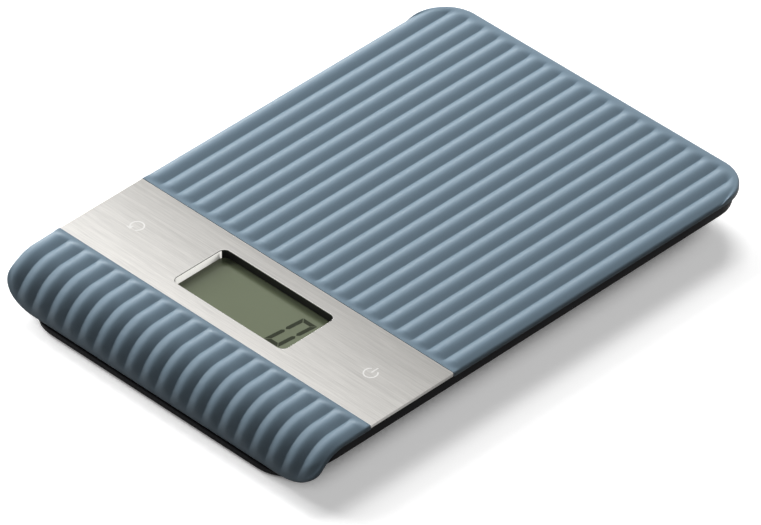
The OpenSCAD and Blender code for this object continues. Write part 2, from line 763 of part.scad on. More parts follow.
module strain_gauges() {
  color([0.85, 0.6, 0.2])
    for (p = foot_at) translate([p.x, p.y + (p.y < 0 ? 5 : -5), 0])
      box(-2.5, 2.5, -2, 2, cell_top_z, cell_top_z + 0.3);
}

module load_cell_screws() {
  color([0.7, 0.7, 0.72])
    for (p = foot_at) for (sx = mirrored) for (sy = mirrored)
      translate([p.x + sx * cell_post_at, p.y + sy * cell_post_at, 0]) {
        rod(small_head_d, cell_top_z, cell_top_z + small_head_h);
        rod(small_screw_d, cell_low_z - 3.2, cell_top_z + 0.1);
      }
}

// A lead that lies in one upright plane along Y: straight runs whose ends are tucked
// into slightly thicker round bends
lead_bend_r = 2.5;
lead_bend_d = lead_d + 0.1;
lead_tuck = 0.2;
lead_lay = lead_bend_d / 2 + seat_gap;
function run_angle(p, q) = atan2(q.y - p.y, q.x - p.x);
function turn(pts, k) =
  let(t = run_angle(pts[k], pts[k + 1]) - run_angle(pts[k - 1], pts[k]))
  t > 180 ? t - 360 : t < -180 ? t + 360 : t;
function cut_back(pts, k) =
  k == 0 || k == len(pts) - 1 ? 0 : lead_bend_r * tan(abs(turn(pts, k)) / 2);
module lead(x, pts) {
  for (k = [0:len(pts) - 2]) {
    a = run_angle(pts[k], pts[k + 1]);
    back = max(0, cut_back(pts, k) - (k > 0 ? lead_tuck : 0));
    ahead = max(0, cut_back(pts, k + 1) - (k < len(pts) - 2 ? lead_tuck : 0));
    start = pts[k] + back * [cos(a), sin(a)];
    length = norm(pts[k + 1] - pts[k]) - back - ahead;
    translate([x, start.x, start.y]) rotate([a - 90, 0, 0]) cylinder(d = lead_d, h = length);
    if (k > 0) {
      before = run_angle(pts[k - 1], pts[k]);
      t = turn(pts, k);
      side = sign(t);
      near = pts[k] - cut_back(pts, k) * [cos(before), sin(before)];
      middle = near + side * lead_bend_r * [-sin(before), cos(before)];
      translate([x, middle.x, middle.y]) rotate([90, 0, 90])
        rotate([0, 0, before - side * 90 + (t < 0 ? t : 0)])
          rotate_extrude(angle = abs(t)) translate([lead_bend_r, 0]) circle(d = lead_bend_d);
    }
  }
}

module load_cell_leads() {
  on_cell = cell_top_z + lead_lay;
  on_floor = floor_z + lead_lay;
  riser = y_band + board_l / 2 - 3.4;
  color([0.85, 0.85, 0.85])
    for (s = mirrored) {
      lead(s * foot_x, [[foot_y_front + 8.5, on_cell], [y_band - board_l / 2 + 8, on_cell]]);
      lead(s * foot_x, [[foot_y_rear - 8.5, on_cell], [foot_y_rear - 15, on_cell],
        [foot_y_rear - 23, on_floor], [riser, on_floor], [riser, board_low_z - seat_gap]]);
    }
}

module foot_cup(k) {
  color([0.16, 0.16, 0.17])
    translate([foot_at[k].x, foot_at[k].y, 0]) difference() {
      union() {
        rod(foot_d, pad_t - pad_recess, flange_z + 0.1);
        rod(foot_flange_d, flange_z, flange_z + foot_flange_t);
        rod(foot_button_d, flange_z, button_top_z);
      }
      rod(pad_d + 0.1, -1, pad_t);
    }
}

module foot_pad(k) {
  color([0.3, 0.3, 0.31])
    translate([foot_at[k].x, foot_at[k].y, 0]) rod(pad_d, 0, pad_t);
}

module foot_cup_front_left() { foot_cup(0); }
module foot_cup_front_right() { foot_cup(1); }
module foot_cup_rear_left() { foot_cup(2); }
module foot_cup_rear_right() { foot_cup(3); }
module foot_pad_front_left() { foot_pad(0); }
module foot_pad_front_right() { foot_pad(1); }
module foot_pad_rear_left() { foot_pad(2); }
module foot_pad_rear_right() { foot_pad(3); }

// A cell whose button points along s; its flat end is held by the spring
module battery_cell(s) {
  start = -bay_l / 2 + contact_t + spring_l + 0.05;
  translate([0, bay_y + s * battery_off, battery_z]) mirror([s < 0 ? 1 : 0, 0, 0])
    translate([start, 0, 0]) rotate([0, 90, 0]) {
      cylinder(d = battery_d, h = battery_l);
      cylinder(d = 3.8, h = battery_l + battery_nub);
    }
}

module battery_cell_left() { color([0.75, 0.6, 0.25]) battery_cell(-1); }
module battery_cell_right() { color([0.75, 0.6, 0.25]) battery_cell(1); }

module contact_plate(x, y, w) {
  translate([x, bay_y + y, battery_z])
    box(-contact_t / 2, contact_t / 2, -w / 2, w / 2, -contact_h / 2, contact_h / 2);
}

module battery_bridge_plate() {
  color([0.8, 0.8, 0.78])
    contact_plate(-bay_l / 2 + contact_t / 2, 0, 2 * battery_d - 2);
}

module battery_end_plates() {
  color([0.8, 0.8, 0.78])
    for (s = mirrored) contact_plate(bay_l / 2 - contact_t / 2, s * battery_off, 8.5);
}

// The cone springs, drawn as the closed shape that their turns fill
module battery_springs() {
  color([0.8, 0.8, 0.78])
    for (s = mirrored) translate([0, bay_y + s * battery_off, battery_z]) mirror([s < 0 ? 1 : 0, 0, 0])
      translate([-bay_l / 2 + contact_t, 0, 0]) rotate([0, 90, 0])
        cylinder(r1 = 3.8, r2 = 2.4, h = spring_l);
}

// The battery leads leave the bay's front wall and rise to the board
module battery_leads() {
  wall = bay_y - bay_w / 2 - bay_wall - seat_gap;
  step = bay_y - door_l / 2 - 7;
  riser = y_band + board_l / 2 - 3.4;
  color([0.7, 0.1, 0.1])
    for (x = [18, 22])
      lead(x, [[wall, pad_plate_z + lead_lay], [step, pad_plate_z + lead_lay],
        [step - 7, floor_z + lead_lay], [riser, floor_z + lead_lay],
        [riser, board_low_z - seat_gap]]);
}

// The battery door slides to the rear until its tabs reach their notches
module battery_door() {
  color([0.08, 0.08, 0.09])
    translate([0, bay_y, 0]) difference() {
      union() {
        box(-door_w / 2, door_w / 2, -door_l / 2, door_l / 2, door_low_z, door_top_z);
        for (y = [-tab_off, tab_off])
          box(-door_w / 2 - tab_w, door_w / 2 + tab_w, y - tab_l / 2, y + tab_l / 2,
            tab_z, door_top_z);
      }
      for (k = [0:4]) translate([0, -8 + k * 2.4, 0])
        box(-11, 11, -0.6, 0.6, door_low_z - 1, door_low_z + 0.5);
    }
}

top_cover();
steel_fascia();
fascia_adhesive();
lcd_window_frame();
lcd_panel();
lcd_contact_strips();
main_board();
board_screws();
controller_blob();
memory_chip();
board_capacitors();
unit_switch_housing();
unit_switch_stem();
unit_key_pin();
tare_switch_housing();
tare_switch_stem();
tare_key_pin();
base_tub();
case_screws();
load_cell_front_left();
load_cell_front_right();
load_cell_rear_left();
load_cell_rear_right();
strain_gauges();
load_cell_screws();
load_cell_leads();
foot_cup_front_left();
foot_cup_front_right();
foot_cup_rear_left();
foot_cup_rear_right();
foot_pad_front_left();
foot_pad_front_right();
foot_pad_rear_left();
foot_pad_rear_right();
battery_cell_left();
battery_cell_right();
battery_bridge_plate();
battery_end_plates();
battery_springs();
battery_leads();
battery_door();
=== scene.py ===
import json
import math

import bmesh
import bpy
from mathutils import Matrix, Vector


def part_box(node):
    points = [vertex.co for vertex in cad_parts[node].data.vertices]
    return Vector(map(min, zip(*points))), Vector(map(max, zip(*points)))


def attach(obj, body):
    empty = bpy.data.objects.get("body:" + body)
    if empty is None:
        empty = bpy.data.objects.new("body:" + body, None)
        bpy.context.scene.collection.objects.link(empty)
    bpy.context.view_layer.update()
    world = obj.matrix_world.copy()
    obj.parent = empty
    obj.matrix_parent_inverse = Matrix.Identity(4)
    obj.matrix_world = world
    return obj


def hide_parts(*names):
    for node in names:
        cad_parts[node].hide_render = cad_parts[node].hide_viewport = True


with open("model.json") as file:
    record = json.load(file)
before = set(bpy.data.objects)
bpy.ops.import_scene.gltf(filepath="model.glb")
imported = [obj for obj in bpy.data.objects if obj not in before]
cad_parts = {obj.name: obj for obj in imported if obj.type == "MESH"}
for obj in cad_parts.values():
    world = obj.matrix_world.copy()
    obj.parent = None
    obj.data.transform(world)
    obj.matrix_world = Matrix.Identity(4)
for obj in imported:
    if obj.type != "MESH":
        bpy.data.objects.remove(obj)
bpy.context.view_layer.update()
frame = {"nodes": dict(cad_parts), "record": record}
nodes = frame["nodes"]
mm = 0.001

# Base tub
# The black lower shell, injection moulded with a fine spark-eroded grain. Its wall stands
# upright under the cover and then slopes in. The cover is screwed to it from below.
tub_black = (0.006, 0.006, 0.007)
rim_inset = 1.7 * mm
slope_inset = 12.3 * mm
slope_z = 1.5 * mm
skirt_z = 12.8 * mm
skirt_inset = 2 * mm
skirt_corner = 16 * mm
skirt_front = 0.3 * mm
wall_reach = 0.25 * mm
cut_reach = 0.01 * mm
weld = 0.001 * mm
flat_angle = math.radians(0.5)
edge_angle = math.radians(32)
sharp_degrees = 30
surface_links = (("Colour", "Base Color"), ("Roughness", "Roughness"), ("Normal", "Normal"))


def put(tree, kind, inputs=None, **settings):
    """Add a shader node, whose inputs are given as values or as sockets to be linked."""
    node = tree.nodes.new("ShaderNode" + kind)
    for name, value in settings.items():
        setattr(node, name, value)
    for name, value in (inputs or {}).items():
        if isinstance(value, bpy.types.NodeSocket):
            tree.links.new(value, node.inputs[name])
        else:
            node.inputs[name].default_value = value
    return node


def maths(tree, operation, *values):
    """The result of a Math node."""
    return put(tree, "Math", dict(enumerate(values)), operation=operation).outputs[0]


def shader_group(name, inputs):
    """Start a node group that puts out a colour, a roughness and a normal."""
    tree = bpy.data.node_groups.new(name, "ShaderNodeTree")
    for label, kind in inputs:
        tree.interface.new_socket(label, in_out="INPUT", socket_type="NodeSocket" + kind)
    for label, kind in (("Colour", "Color"), ("Roughness", "Float"), ("Normal", "Vector")):
        tree.interface.new_socket(label, in_out="OUTPUT", socket_type="NodeSocket" + kind)
    return tree, tree.nodes.new("NodeGroupInput").outputs


def end_group(tree, given, fine, broad, contrast, rough_swing):
    """Let colour and roughness follow both noises, and the relief only the fine one."""
    centred = maths(tree, "SUBTRACT", maths(tree, "ADD", fine, broad), 1.0)
    shade = maths(tree, "MULTIPLY_ADD", centred, contrast, 1.0)
    colour = put(tree, "VectorMath", {0: given["Colour"], "Scale": shade}, operation="SCALE")
    rough = maths(tree, "MULTIPLY_ADD", centred, rough_swing, given["Roughness"])
    bump = put(tree, "Bump", {"Strength": 1.0, "Distance": given["Depth"], "Height": fine})
    out = tree.nodes.new("NodeGroupOutput")
    tree.links.new(colour.outputs[0], out.inputs["Colour"])
    tree.links.new(rough, out.inputs["Roughness"])
    tree.links.new(bump.outputs[0], out.inputs["Normal"])
    return tree


def moulded_grain():
    """Grain of a moulded surface: soft patches of shade over a fine even bump."""
    tree, given = shader_group("moulded grain", [
        ("Place", "Vector"), ("Colour", "Color"), ("Roughness", "Float"),
        ("Grains per metre", "Float"), ("Depth", "Float"), ("Mottle", "Float")])
    fine = put(tree, "TexNoise", {"Vector": given["Place"], "Scale": given["Grains per metre"],
                                  "Detail": 2.0, "Roughness": 0.6})
    patches = put(tree, "TexNoise", {"Vector": given["Place"], "Scale": 55.0, "Detail": 3.0})
    return end_group(tree, given, fine.outputs[0], patches.outputs[0], given["Mottle"],
                     rough_swing=0.12)


grain = moulded_grain()


def new_finish(name):
    """An empty material: its tree, its principled shader and the piece's own coordinates."""
    material = bpy.data.materials.new(name)
    material.use_nodes = True
    tree = material.node_tree
    place = put(tree, "TexCoord").outputs["Object"]
    return material, tree, tree.nodes["Principled BSDF"], place


def covered(name, group, colour, values, links=surface_links):
    """A material whose surface comes from a grain group, with its shader's inputs."""
    material, tree, shader, place = new_finish(name)
    given = {"Place": place, "Colour": (*colour, 1), **values}
    surface = put(tree, "Group", given, node_tree=group)
    for label, socket in links:
        tree.links.new(surface.outputs[label], shader.inputs[socket])
    return material, shader.inputs


def moulded(name, colour, rough, pitch, depth, mottle=0.06, specular=0.5):
    """A moulded plastic or rubber; pitch and depth are those of its grain."""
    material, shader = covered(name, grain, colour, {
        "Roughness": rough, "Grains per metre": 1 / pitch, "Depth": depth, "Mottle": mottle})
    shader["Specular IOR Level"].default_value = specular
    return material


def smooth_by_angle(bm, degrees):
    """Shade smooth, apart from the edges that are sharper than this angle."""
    limit = math.radians(degrees)
    for face in bm.faces:
        face.smooth = True
    for edge in bm.edges:
        edge.smooth = len(edge.link_faces) == 2 and edge.calc_face_angle(0) < limit


def new_piece(name, bm, material, body, sharp=sharp_degrees):
    """Turn a finished bmesh into a piece that rides on a body."""
    smooth_by_angle(bm, sharp)
    mesh = bpy.data.meshes.new(name)
    bm.to_mesh(mesh)
    bm.free()
    piece = bpy.data.objects.new(name, mesh)
    bpy.context.scene.collection.objects.link(piece)
    piece.data.materials.append(material)
    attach(piece, body)
    return piece


def body_of_node(node):
    """The body that a CAD node rides on."""
    return next(name for name, members in frame["record"]["behaviour"]["bodies"].items()
                if node in members)


def merged_copy(node):
    """A bmesh of a CAD node's shape with its loose triangles merged into clean faces."""
    bm = bmesh.new()
    bm.from_mesh(nodes[node].data)
    bmesh.ops.remove_doubles(bm, verts=bm.verts, dist=weld)
    bmesh.ops.dissolve_limit(bm, angle_limit=flat_angle, verts=bm.verts, edges=bm.edges)
    return bm


def softened(node, material, edge):
    """Replace a CAD node by its own shape with rounded edges, as moulding or tumbling leaves."""
    piece = new_piece(node + "_finished", merged_copy(node), material, body_of_node(node))
    bevel = piece.modifiers.new("edges", "BEVEL")
    bevel.width = edge
    bevel.segments = 2
    bevel.limit_method = "ANGLE"
    bevel.angle_limit = edge_angle
    bevel.use_clamp_overlap = False
    bevel.harden_normals = True
    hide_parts(node)
    return piece


def refinish(node, material):
    """Give a CAD node that keeps its shape a better material."""
    for place in nodes[node].material_slots:
        place.material = material


def upright_skirt(piece):
    """Cut round the tub's evenly sloping wall at skirt_z and push the cut out, so that the
    wall stands upright above it and slopes in only below it."""
    low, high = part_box("top_cover")
    rim_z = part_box("base_tub")[1].z
    lean = (slope_inset - rim_inset) / (rim_z - slope_z)
    inset = slope_inset - lean * (skirt_z - slope_z)
    shift = inset - skirt_inset
    bm = bmesh.new()
    bm.from_mesh(piece.data)
    bmesh.ops.bisect_plane(bm, geom=bm.verts[:] + bm.edges[:] + bm.faces[:], dist=weld,
                           plane_co=(0, 0, skirt_z), plane_no=(0, 0, 1))
    for v in bm.verts:
        if abs(v.co.z - skirt_z) > cut_reach:
            continue
        across = abs(v.co.x) - (high.x - inset - skirt_corner)
        back = v.co.y - (high.y - inset - skirt_corner)
        front = low.y + skirt_front + skirt_corner - v.co.y
        if across > 0 and max(back, front) > 0:
            reach = math.hypot(across, max(back, front))
        else:
            reach = max(across, back)
        if abs(reach - skirt_corner) > wall_reach:
            continue
        if across > 0:
            v.co.x += math.copysign(shift, v.co.x)
        if back > 0:
            v.co.y += shift
    smooth_by_angle(bm, sharp_degrees)
    bm.to_mesh(piece.data)
    bm.free()


tub_plastic = moulded("black moulded tub", tub_black, rough=0.55, pitch=0.45 * mm,
                      depth=0.012 * mm, mottle=0.15, specular=0.1)
upright_skirt(softened("base_tub", tub_plastic, 0.2 * mm))

# Feet
# Four cups of hard black plastic with a soft ringed pad glued in. Each cup is kept in the
# tub's floor by its flange and pushes on its load cell through a button.
foot_places = ("front_left", "front_right", "rear_left", "rear_right")
pad_edge = 0.3 * mm
ring_count = 4
ring_pitch = 1.5 * mm
ring_start = 0.7
ring_depth = 0.25 * mm
ring_slope = 0.15 * mm
ring_floor = 0.35 * mm
cup_plastic = moulded("hard cup plastic", (0.018, 0.018, 0.02), rough=0.42, pitch=0.5 * mm,
                      depth=0.008 * mm, mottle=0.1)
pad_rubber = moulded("grey pad rubber", (0.055, 0.055, 0.06), rough=0.75, pitch=0.3 * mm,
                     depth=0.02 * mm, mottle=0.2, specular=0.3)


def turned(profile, steps=64):
    """Spin a profile of radius and height pairs round the Z axis into a closed shape."""
    bm = bmesh.new()
    corners = [bm.verts.new((r, 0, z)) for r, z in profile]
    edges = [bm.edges.new(pair) for pair in zip(corners, corners[1:])]
    bmesh.ops.spin(bm, geom=corners + edges, axis=(0, 0, 1), cent=(0, 0, 0),
                   angle=math.tau, steps=steps, use_merge=True)
    bmesh.ops.remove_doubles(bm, verts=bm.verts, dist=weld)
    bmesh.ops.recalc_face_normals(bm, faces=bm.faces)
    return bm


def middle(box):
    """The middle of a box that is given by its lowest and highest corners."""
    return (box[0] + box[1]) / 2


def pad_profile(radius, low, high):
    """Half of a pad's section, with round grooves in its lower face."""
    profile = [(0, high), (radius, high), (radius, low + pad_edge), (radius - pad_edge, low)]
    for ring in range(ring_count):
        outer = radius - (ring + ring_start) * ring_pitch
        inner = outer - ring_slope - ring_floor
        profile += [(outer, low), (outer - ring_slope, low + ring_depth),
                    (inner, low + ring_depth), (inner - ring_slope, low)]
    return profile + [(0, low)]


for place in foot_places:
    softened("foot_cup_" + place, cup_plastic, 0.2 * mm)
    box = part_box("foot_pad_" + place)
    pad = turned(pad_profile((box[1].x - box[0].x) / 2, box[0].z, box[1].z))
    bmesh.ops.translate(pad, verts=pad.verts, vec=(*middle(box).xy, 0))
    pad = new_piece("foot_pad_ringed_" + place, pad, pad_rubber, "foot_" + place)
    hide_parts("foot_pad_" + place)

# Load cells
# Stamped plates of spring steel with a tongue cut free on three sides. A foil gauge is
# glued on each tongue, four pan-head screws hold each plate, and thin leads carry the signal.
steel_grey = (0.56, 0.56, 0.57)
zinc_grey = (0.62, 0.63, 0.64)
small_screw_d = 2 * mm
small_head_h = 1.3 * mm
screw_sides = 24
head_flat = 0.8
head_side = 0.35
slot_reach = 0.55
slot_half = 0.14
slot_sink = 0.55
slot_taper = 0.7
screw_tip = 0.3


def brushing():
    """Fine parallel scratches: the coordinates are stretched, so that noise runs in lines."""
    tree, given = shader_group("brushing", [
        ("Place", "Vector"), ("Stretch", "Vector"), ("Colour", "Color"),
        ("Roughness", "Float"), ("Depth", "Float"), ("Contrast", "Float")])
    lines = put(tree, "VectorMath", {0: given["Place"], 1: given["Stretch"]},
                operation="MULTIPLY").outputs[0]
    fine = put(tree, "TexNoise", {"Vector": lines, "Scale": 1.0, "Detail": 3.0,
                                  "Roughness": 0.7})
    broad = put(tree, "TexNoise", {"Vector": lines, "Scale": 0.2, "Detail": 4.0,
                                   "Roughness": 0.6, "Distortion": 1.2})
    return end_group(tree, given, fine.outputs[0], broad.outputs[0], given["Contrast"],
                     rough_swing=0.15)


brushed = brushing()


def metal(name, colour, rough, stretch, depth, contrast=0.15):
    """A metal with fine scratches; stretch is their number per metre along each axis."""
    material, shader = covered(name, brushed, colour, {
        "Roughness": rough, "Stretch": stretch, "Depth": depth, "Contrast": contrast})
    shader["Metallic"].default_value = 1.0
    return material


def two_tone(tree, factor, first, second, change=(0, 1)):
    """A colour that turns from the first to the second as the factor passes the change."""
    ramp = put(tree, "ValToRGB", {"Fac": factor})
    for end, place, colour in zip(ramp.color_ramp.elements, change, (first, second)):
        end.position = place
        end.color = (*colour, 1)
    return ramp.outputs[0]


def banded(name, scale, first, second, rough, change=(0, 1)):
    """Fine bands of two colours, one beside the other along X."""
    material, tree, shader, place = new_finish(name)
    waves = put(tree, "TexWave", {"Vector": place, "Scale": scale, "Distortion": 0.0},
                wave_type="BANDS", bands_direction="X")
    colour = two_tone(tree, waves.outputs[0], first, second, change)
    tree.links.new(colour, shader.inputs["Base Color"])
    shader.inputs["Roughness"].default_value = rough
    return material


plate_steel = metal("rolled spring steel", steel_grey, rough=0.32, stretch=(300, 4000, 4000),
                    depth=0.002 * mm)
zinc = metal("zinc-plated screw steel", zinc_grey, rough=0.3, stretch=(2500, 2500, 2500),
             depth=0.003 * mm)
gauge_foil = banded("strain gauge foil", 900.0, (0.55, 0.24, 0.03), (0.75, 0.62, 0.42),
                    rough=0.3, change=(0.45, 0.55))
white_sleeve = moulded("white lead sleeve", (0.62, 0.62, 0.6), rough=0.45, pitch=0.8 * mm,
                       depth=0.004 * mm, mottle=0.05)


def verts_of(made):
    """The vertices among the parts that an operator has made."""
    return [part for part in made if isinstance(part, bmesh.types.BMVert)]


def edges_of(made):
    """The edges among the parts that an operator has made."""
    return [part for part in made if isinstance(part, bmesh.types.BMEdge)]


def join_in(bm, made):
    """Add a finished bmesh to another one."""
    mesh = bpy.data.meshes.new("joined")
    made.to_mesh(mesh)
    made.free()
    bm.from_mesh(mesh)
    bpy.data.meshes.remove(mesh)


def cross_head_screw(bm, place, head_d, head_h, shaft_d, shaft_l, up):
    """Add one pan-head screw whose head's underside lies at place; up is 1 or -1 for the head."""
    radius = head_d / 2
    shaft = shaft_d / head_d
    made = bmesh.new()
    bmesh.ops.create_circle(made, segments=screw_sides, radius=radius * head_flat)
    rim = made.edges[:]
    star = []
    for quarter in range(4):
        turn = Matrix.Rotation(quarter * math.pi / 2, 3, "Z")
        for x, y in ((slot_half, -slot_half), (slot_reach, -slot_half), (slot_reach, slot_half)):
            star.append(made.verts.new(turn @ Vector((radius * x, radius * y, 0))))
    outline = [made.edges.new(pair) for pair in zip(star, star[1:] + star[:1])]
    bmesh.ops.triangle_fill(made, edges=rim + outline, use_beauty=True)
    inside = [f for f in made.faces if all(v in star for v in f.verts)]
    bmesh.ops.delete(made, geom=inside, context="FACES_ONLY")
    outline = [e for e in made.edges if e.is_boundary and e.verts[0] in star]
    sunk = bmesh.ops.extrude_edge_only(made, edges=outline)["geom"]
    for v in verts_of(sunk):
        v.co = Vector((v.co.x * slot_taper, v.co.y * slot_taper, -head_h * slot_sink))
    bmesh.ops.contextual_create(made, geom=edges_of(sunk))
    edge = [e for e in made.edges if e.is_boundary]
    for scale, z in ((1, -head_side * head_h), (1, -head_h), (shaft, -head_h),
                     (shaft, -head_h - shaft_l + shaft_d / 2),
                     (shaft * screw_tip, -head_h - shaft_l)):
        grown = bmesh.ops.extrude_edge_only(made, edges=edge)["geom"]
        for v in verts_of(grown):
            flat = v.co.xy.normalized() * radius * scale
            v.co = Vector((flat.x, flat.y, z))
        edge = edges_of(grown)
    bmesh.ops.contextual_create(made, geom=edge)
    for v in made.verts:
        v.co = Vector((v.co.x, v.co.y * up, (v.co.z + head_h) * up)) + place
    bmesh.ops.recalc_face_normals(made, faces=made.faces)
    join_in(bm, made)


def loose_boxes(node):
    """The box of each separate solid in a CAD node, as pairs of lowest and highest corner."""
    bm = merged_copy(node)
    left = set(bm.verts)
    boxes = []
    while left:
        reached = [left.pop()]
        for v in reached:
            for e in v.link_edges:
                other = e.other_vert(v)
                if other in left:
                    left.remove(other)
                    reached.append(other)
        boxes.append([Vector([pick(v.co[k] for v in reached) for k in range(3)])
                      for pick in (min, max)])
    bm.free()
    return sorted(boxes, key=lambda box: tuple(box[0]))


def screws(name, node, shaft_d, head_h, up):
    """Replace a CAD node of plain screws by cross-head ones in the same places."""
    bm = bmesh.new()
    for low, high in loose_boxes(node):
        seat = high.z - head_h if up > 0 else low.z + head_h
        place = Vector((*middle((low, high)).xy, seat))
        shaft_l = high.z - low.z - head_h
        cross_head_screw(bm, place, high.x - low.x, head_h, shaft_d, shaft_l, up)
    piece = new_piece(name, bm, zinc, "scale", sharp=25)
    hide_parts(node)


for place in foot_places:
    softened("load_cell_" + place, plate_steel, 0.12 * mm)
refinish("strain_gauges", gauge_foil)
screws("load_cell_cross_head_screws", "load_cell_screws", small_screw_d, small_head_h, 1)
refinish("load_cell_leads", white_sleeve)

# Battery bay
# Two slim round cells lie head to tail between nickel-plated contacts. Cone springs of
# steel wire press on their flat ends, and two red leads carry the current to the board.
jacket_dark = (0.012, 0.012, 0.013)
jacket_amber = (0.6, 0.33, 0.09)
jacket_change = 9 * mm
base_share = 0.8
base_step = 0.25 * mm
crimp_share = 0.94
crimp_h = 0.55 * mm
shoulder_down = 1.9 * mm
neck_share = 0.93
neck_down = 1.4 * mm
seal_share = 0.6
seal_down = 1.15 * mm
button_r = 1.9 * mm
button_h = 1.1 * mm
button_top_r = 1.6 * mm
button_edge = 0.25 * mm
spring_wire = 0.5 * mm
spring_turns = 5
spring_tip_r = 2.4 * mm
points_per_turn = 16
nickel = metal("nickel-plated contact", (0.7, 0.69, 0.64), rough=0.25, stretch=(900, 900, 900),
               depth=0.002 * mm, contrast=0.1)
red_sleeve = moulded("red lead sleeve", (0.5, 0.015, 0.015), rough=0.4, pitch=0.8 * mm,
                     depth=0.004 * mm, mottle=0.05)


def cell_jacket(change):
    """A printed jacket in two plain colours, the amber one beyond this X."""
    material, tree, shader, place = new_finish("battery jacket %d" % round(change / mm))
    along = put(tree, "SeparateXYZ", {0: place}).outputs["X"]
    beyond = maths(tree, "GREATER_THAN" if change > 0 else "LESS_THAN", along, change)
    tree.links.new(two_tone(tree, beyond, jacket_dark, jacket_amber),
                   shader.inputs["Base Color"])
    shader.inputs["Metallic"].default_value = 0.6
    shader.inputs["Roughness"].default_value = 0.28
    return material


def cell_profile(radius, length):
    """Half of a cell's section, from the middle of its flat end to that of its button."""
    return [(0, 0), (radius * base_share, 0), (radius * base_share, base_step),
            (radius * crimp_share, base_step), (radius, crimp_h),
            (radius, length - shoulder_down), (radius * neck_share, length - neck_down),
            (radius * seal_share, length - seal_down), (button_r, length - button_h),
            (button_r, length - button_edge), (button_top_r, length), (0, length)]


for side, sign in (("left", -1), ("right", 1)):
    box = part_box("battery_cell_" + side)
    low, high = box
    cell = turned(cell_profile((high.z - low.z) / 2, high.x - low.x), steps=72)
    turn = Matrix.Rotation(math.pi / 2 * sign, 4, "Y")
    start = Vector((low.x if sign > 0 else high.x, *middle(box).yz))
    bmesh.ops.transform(cell, matrix=Matrix.Translation(start) @ turn, verts=cell.verts)
    cell = new_piece("battery_cell_jacketed_" + side, cell, cell_jacket(sign * jacket_change),
                     "scale")
    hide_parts("battery_cell_" + side)


def spring_path(path, box):
    """Lay a spring's wire in turns that narrow from the contact towards the middle."""
    low, high = box
    sign = 1 if low.x < 0 else -1
    wire_r = spring_wire / 2
    wide = (high.y - low.y) / 2 - wire_r
    length = high.x - low.x - spring_wire
    start = low.x + wire_r if sign > 0 else high.x - wire_r
    count = spring_turns * points_per_turn
    path.points.add(count)
    for k, point in enumerate(path.points):
        share = k / count
        radius = wide + (spring_tip_r - wire_r - wide) * share
        angle = share * spring_turns * math.tau
        point.co = (start + sign * length * share, middle(box).y + radius * math.cos(angle),
                    middle(box).z + radius * math.sin(angle), 1)


for number, box in enumerate(loose_boxes("battery_springs")):
    line = bpy.data.curves.new("battery_spring_wire_%d" % number, "CURVE")
    line.dimensions = "3D"
    line.bevel_depth = spring_wire / 2
    line.bevel_resolution = 3
    line.use_fill_caps = True
    spring_path(line.splines.new("POLY"), box)
    line.materials.append(nickel)
    spring = bpy.data.objects.new("battery_spring_%d" % (number + 1), line)
    bpy.context.scene.collection.objects.link(spring)
    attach(spring, "scale")
    if number == 0:
        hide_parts("battery_springs")
softened("battery_bridge_plate", nickel, 0.08 * mm)
softened("battery_end_plates", nickel, 0.08 * mm)
refinish("battery_leads", red_sleeve)

# Battery door
# A flat moulded lid with five finger grooves. Its four side tabs run in grooves of the
# tub's recess, so that it slides to the rear and lifts off.
softened("battery_door", tub_plastic, 0.15 * mm)

# Display
# An olive glass panel sits in a moulded frame that lines the window. Two striped rubber
# strips join its edges to the board. The frame's long walls are black, its end walls silver.
glass_olive = (0.141, 0.166, 0.100)
digit_dark = (0.020, 0.026, 0.010)
digit_left = 15.9 * mm
digit_width = 7.6 * mm
digit_front = -78.2 * mm
digit_half = 9.65 * mm
digit_stroke = 1.9 * mm
digit_gap = 0.18 * mm
digit_bevel = 0.55 * digit_stroke
digit_slant = math.tan(math.radians(5.5))
print_rise = 0.02 * mm
wall_lean = (0, 0, 0.6)
end_wall_x = 32 * mm
glass_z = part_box("lcd_panel")[1].z
frame_black = moulded("black frame plastic", (0.006, 0.006, 0.007), rough=0.35,
                      pitch=0.6 * mm, depth=0.004 * mm, mottle=0.1)
frame_silver = metal("silver frame wall", (0.93, 0.92, 0.87), rough=0.3,
                     stretch=(900, 900, 900), depth=0.001 * mm, contrast=0.05)
contact_rubber = banded("striped contact rubber", 700.0, (0.012, 0.012, 0.013),
                        (0.3, 0.24, 0.26), rough=0.7)
segment_ink = moulded("display segment", digit_dark, rough=0.1, pitch=0.5 * mm,
                      depth=0.0005 * mm, mottle=0.05, specular=0.2)


def display_glass():
    """Tinted glass over a grey-green reflector with a faint shimmer."""
    material, shader = covered("display glass", grain, glass_olive, {
        "Roughness": 0.08, "Grains per metre": 6000.0, "Mottle": 0.05}, surface_links[:2])
    shader["Specular IOR Level"].default_value = 0.3
    return material


def lean_up(material, lean):
    """Tilt the walls' shading upwards, so that they catch the light as tapered walls do."""
    tree = material.node_tree
    upright = put(tree, "NewGeometry").outputs["Normal"]
    leaning = put(tree, "VectorMath", {0: upright, 1: lean}, operation="ADD").outputs[0]
    leaning = put(tree, "VectorMath", {0: leaning}, operation="NORMALIZE").outputs[0]
    tree.links.new(leaning, tree.nodes["Principled BSDF"].inputs["Normal"])


lean_up(frame_silver, wall_lean)
window_frame = softened("lcd_window_frame", frame_black, 0.1 * mm)
window_frame.data.materials.append(frame_silver)
for face in window_frame.data.polygons:
    faces_along = abs(face.normal.x) > 0.9
    if faces_along and face.center.z > glass_z and abs(face.center.x) < end_wall_x:
        face.material_index = 1
refinish("lcd_panel", display_glass())
refinish("lcd_contact_strips", contact_rubber)


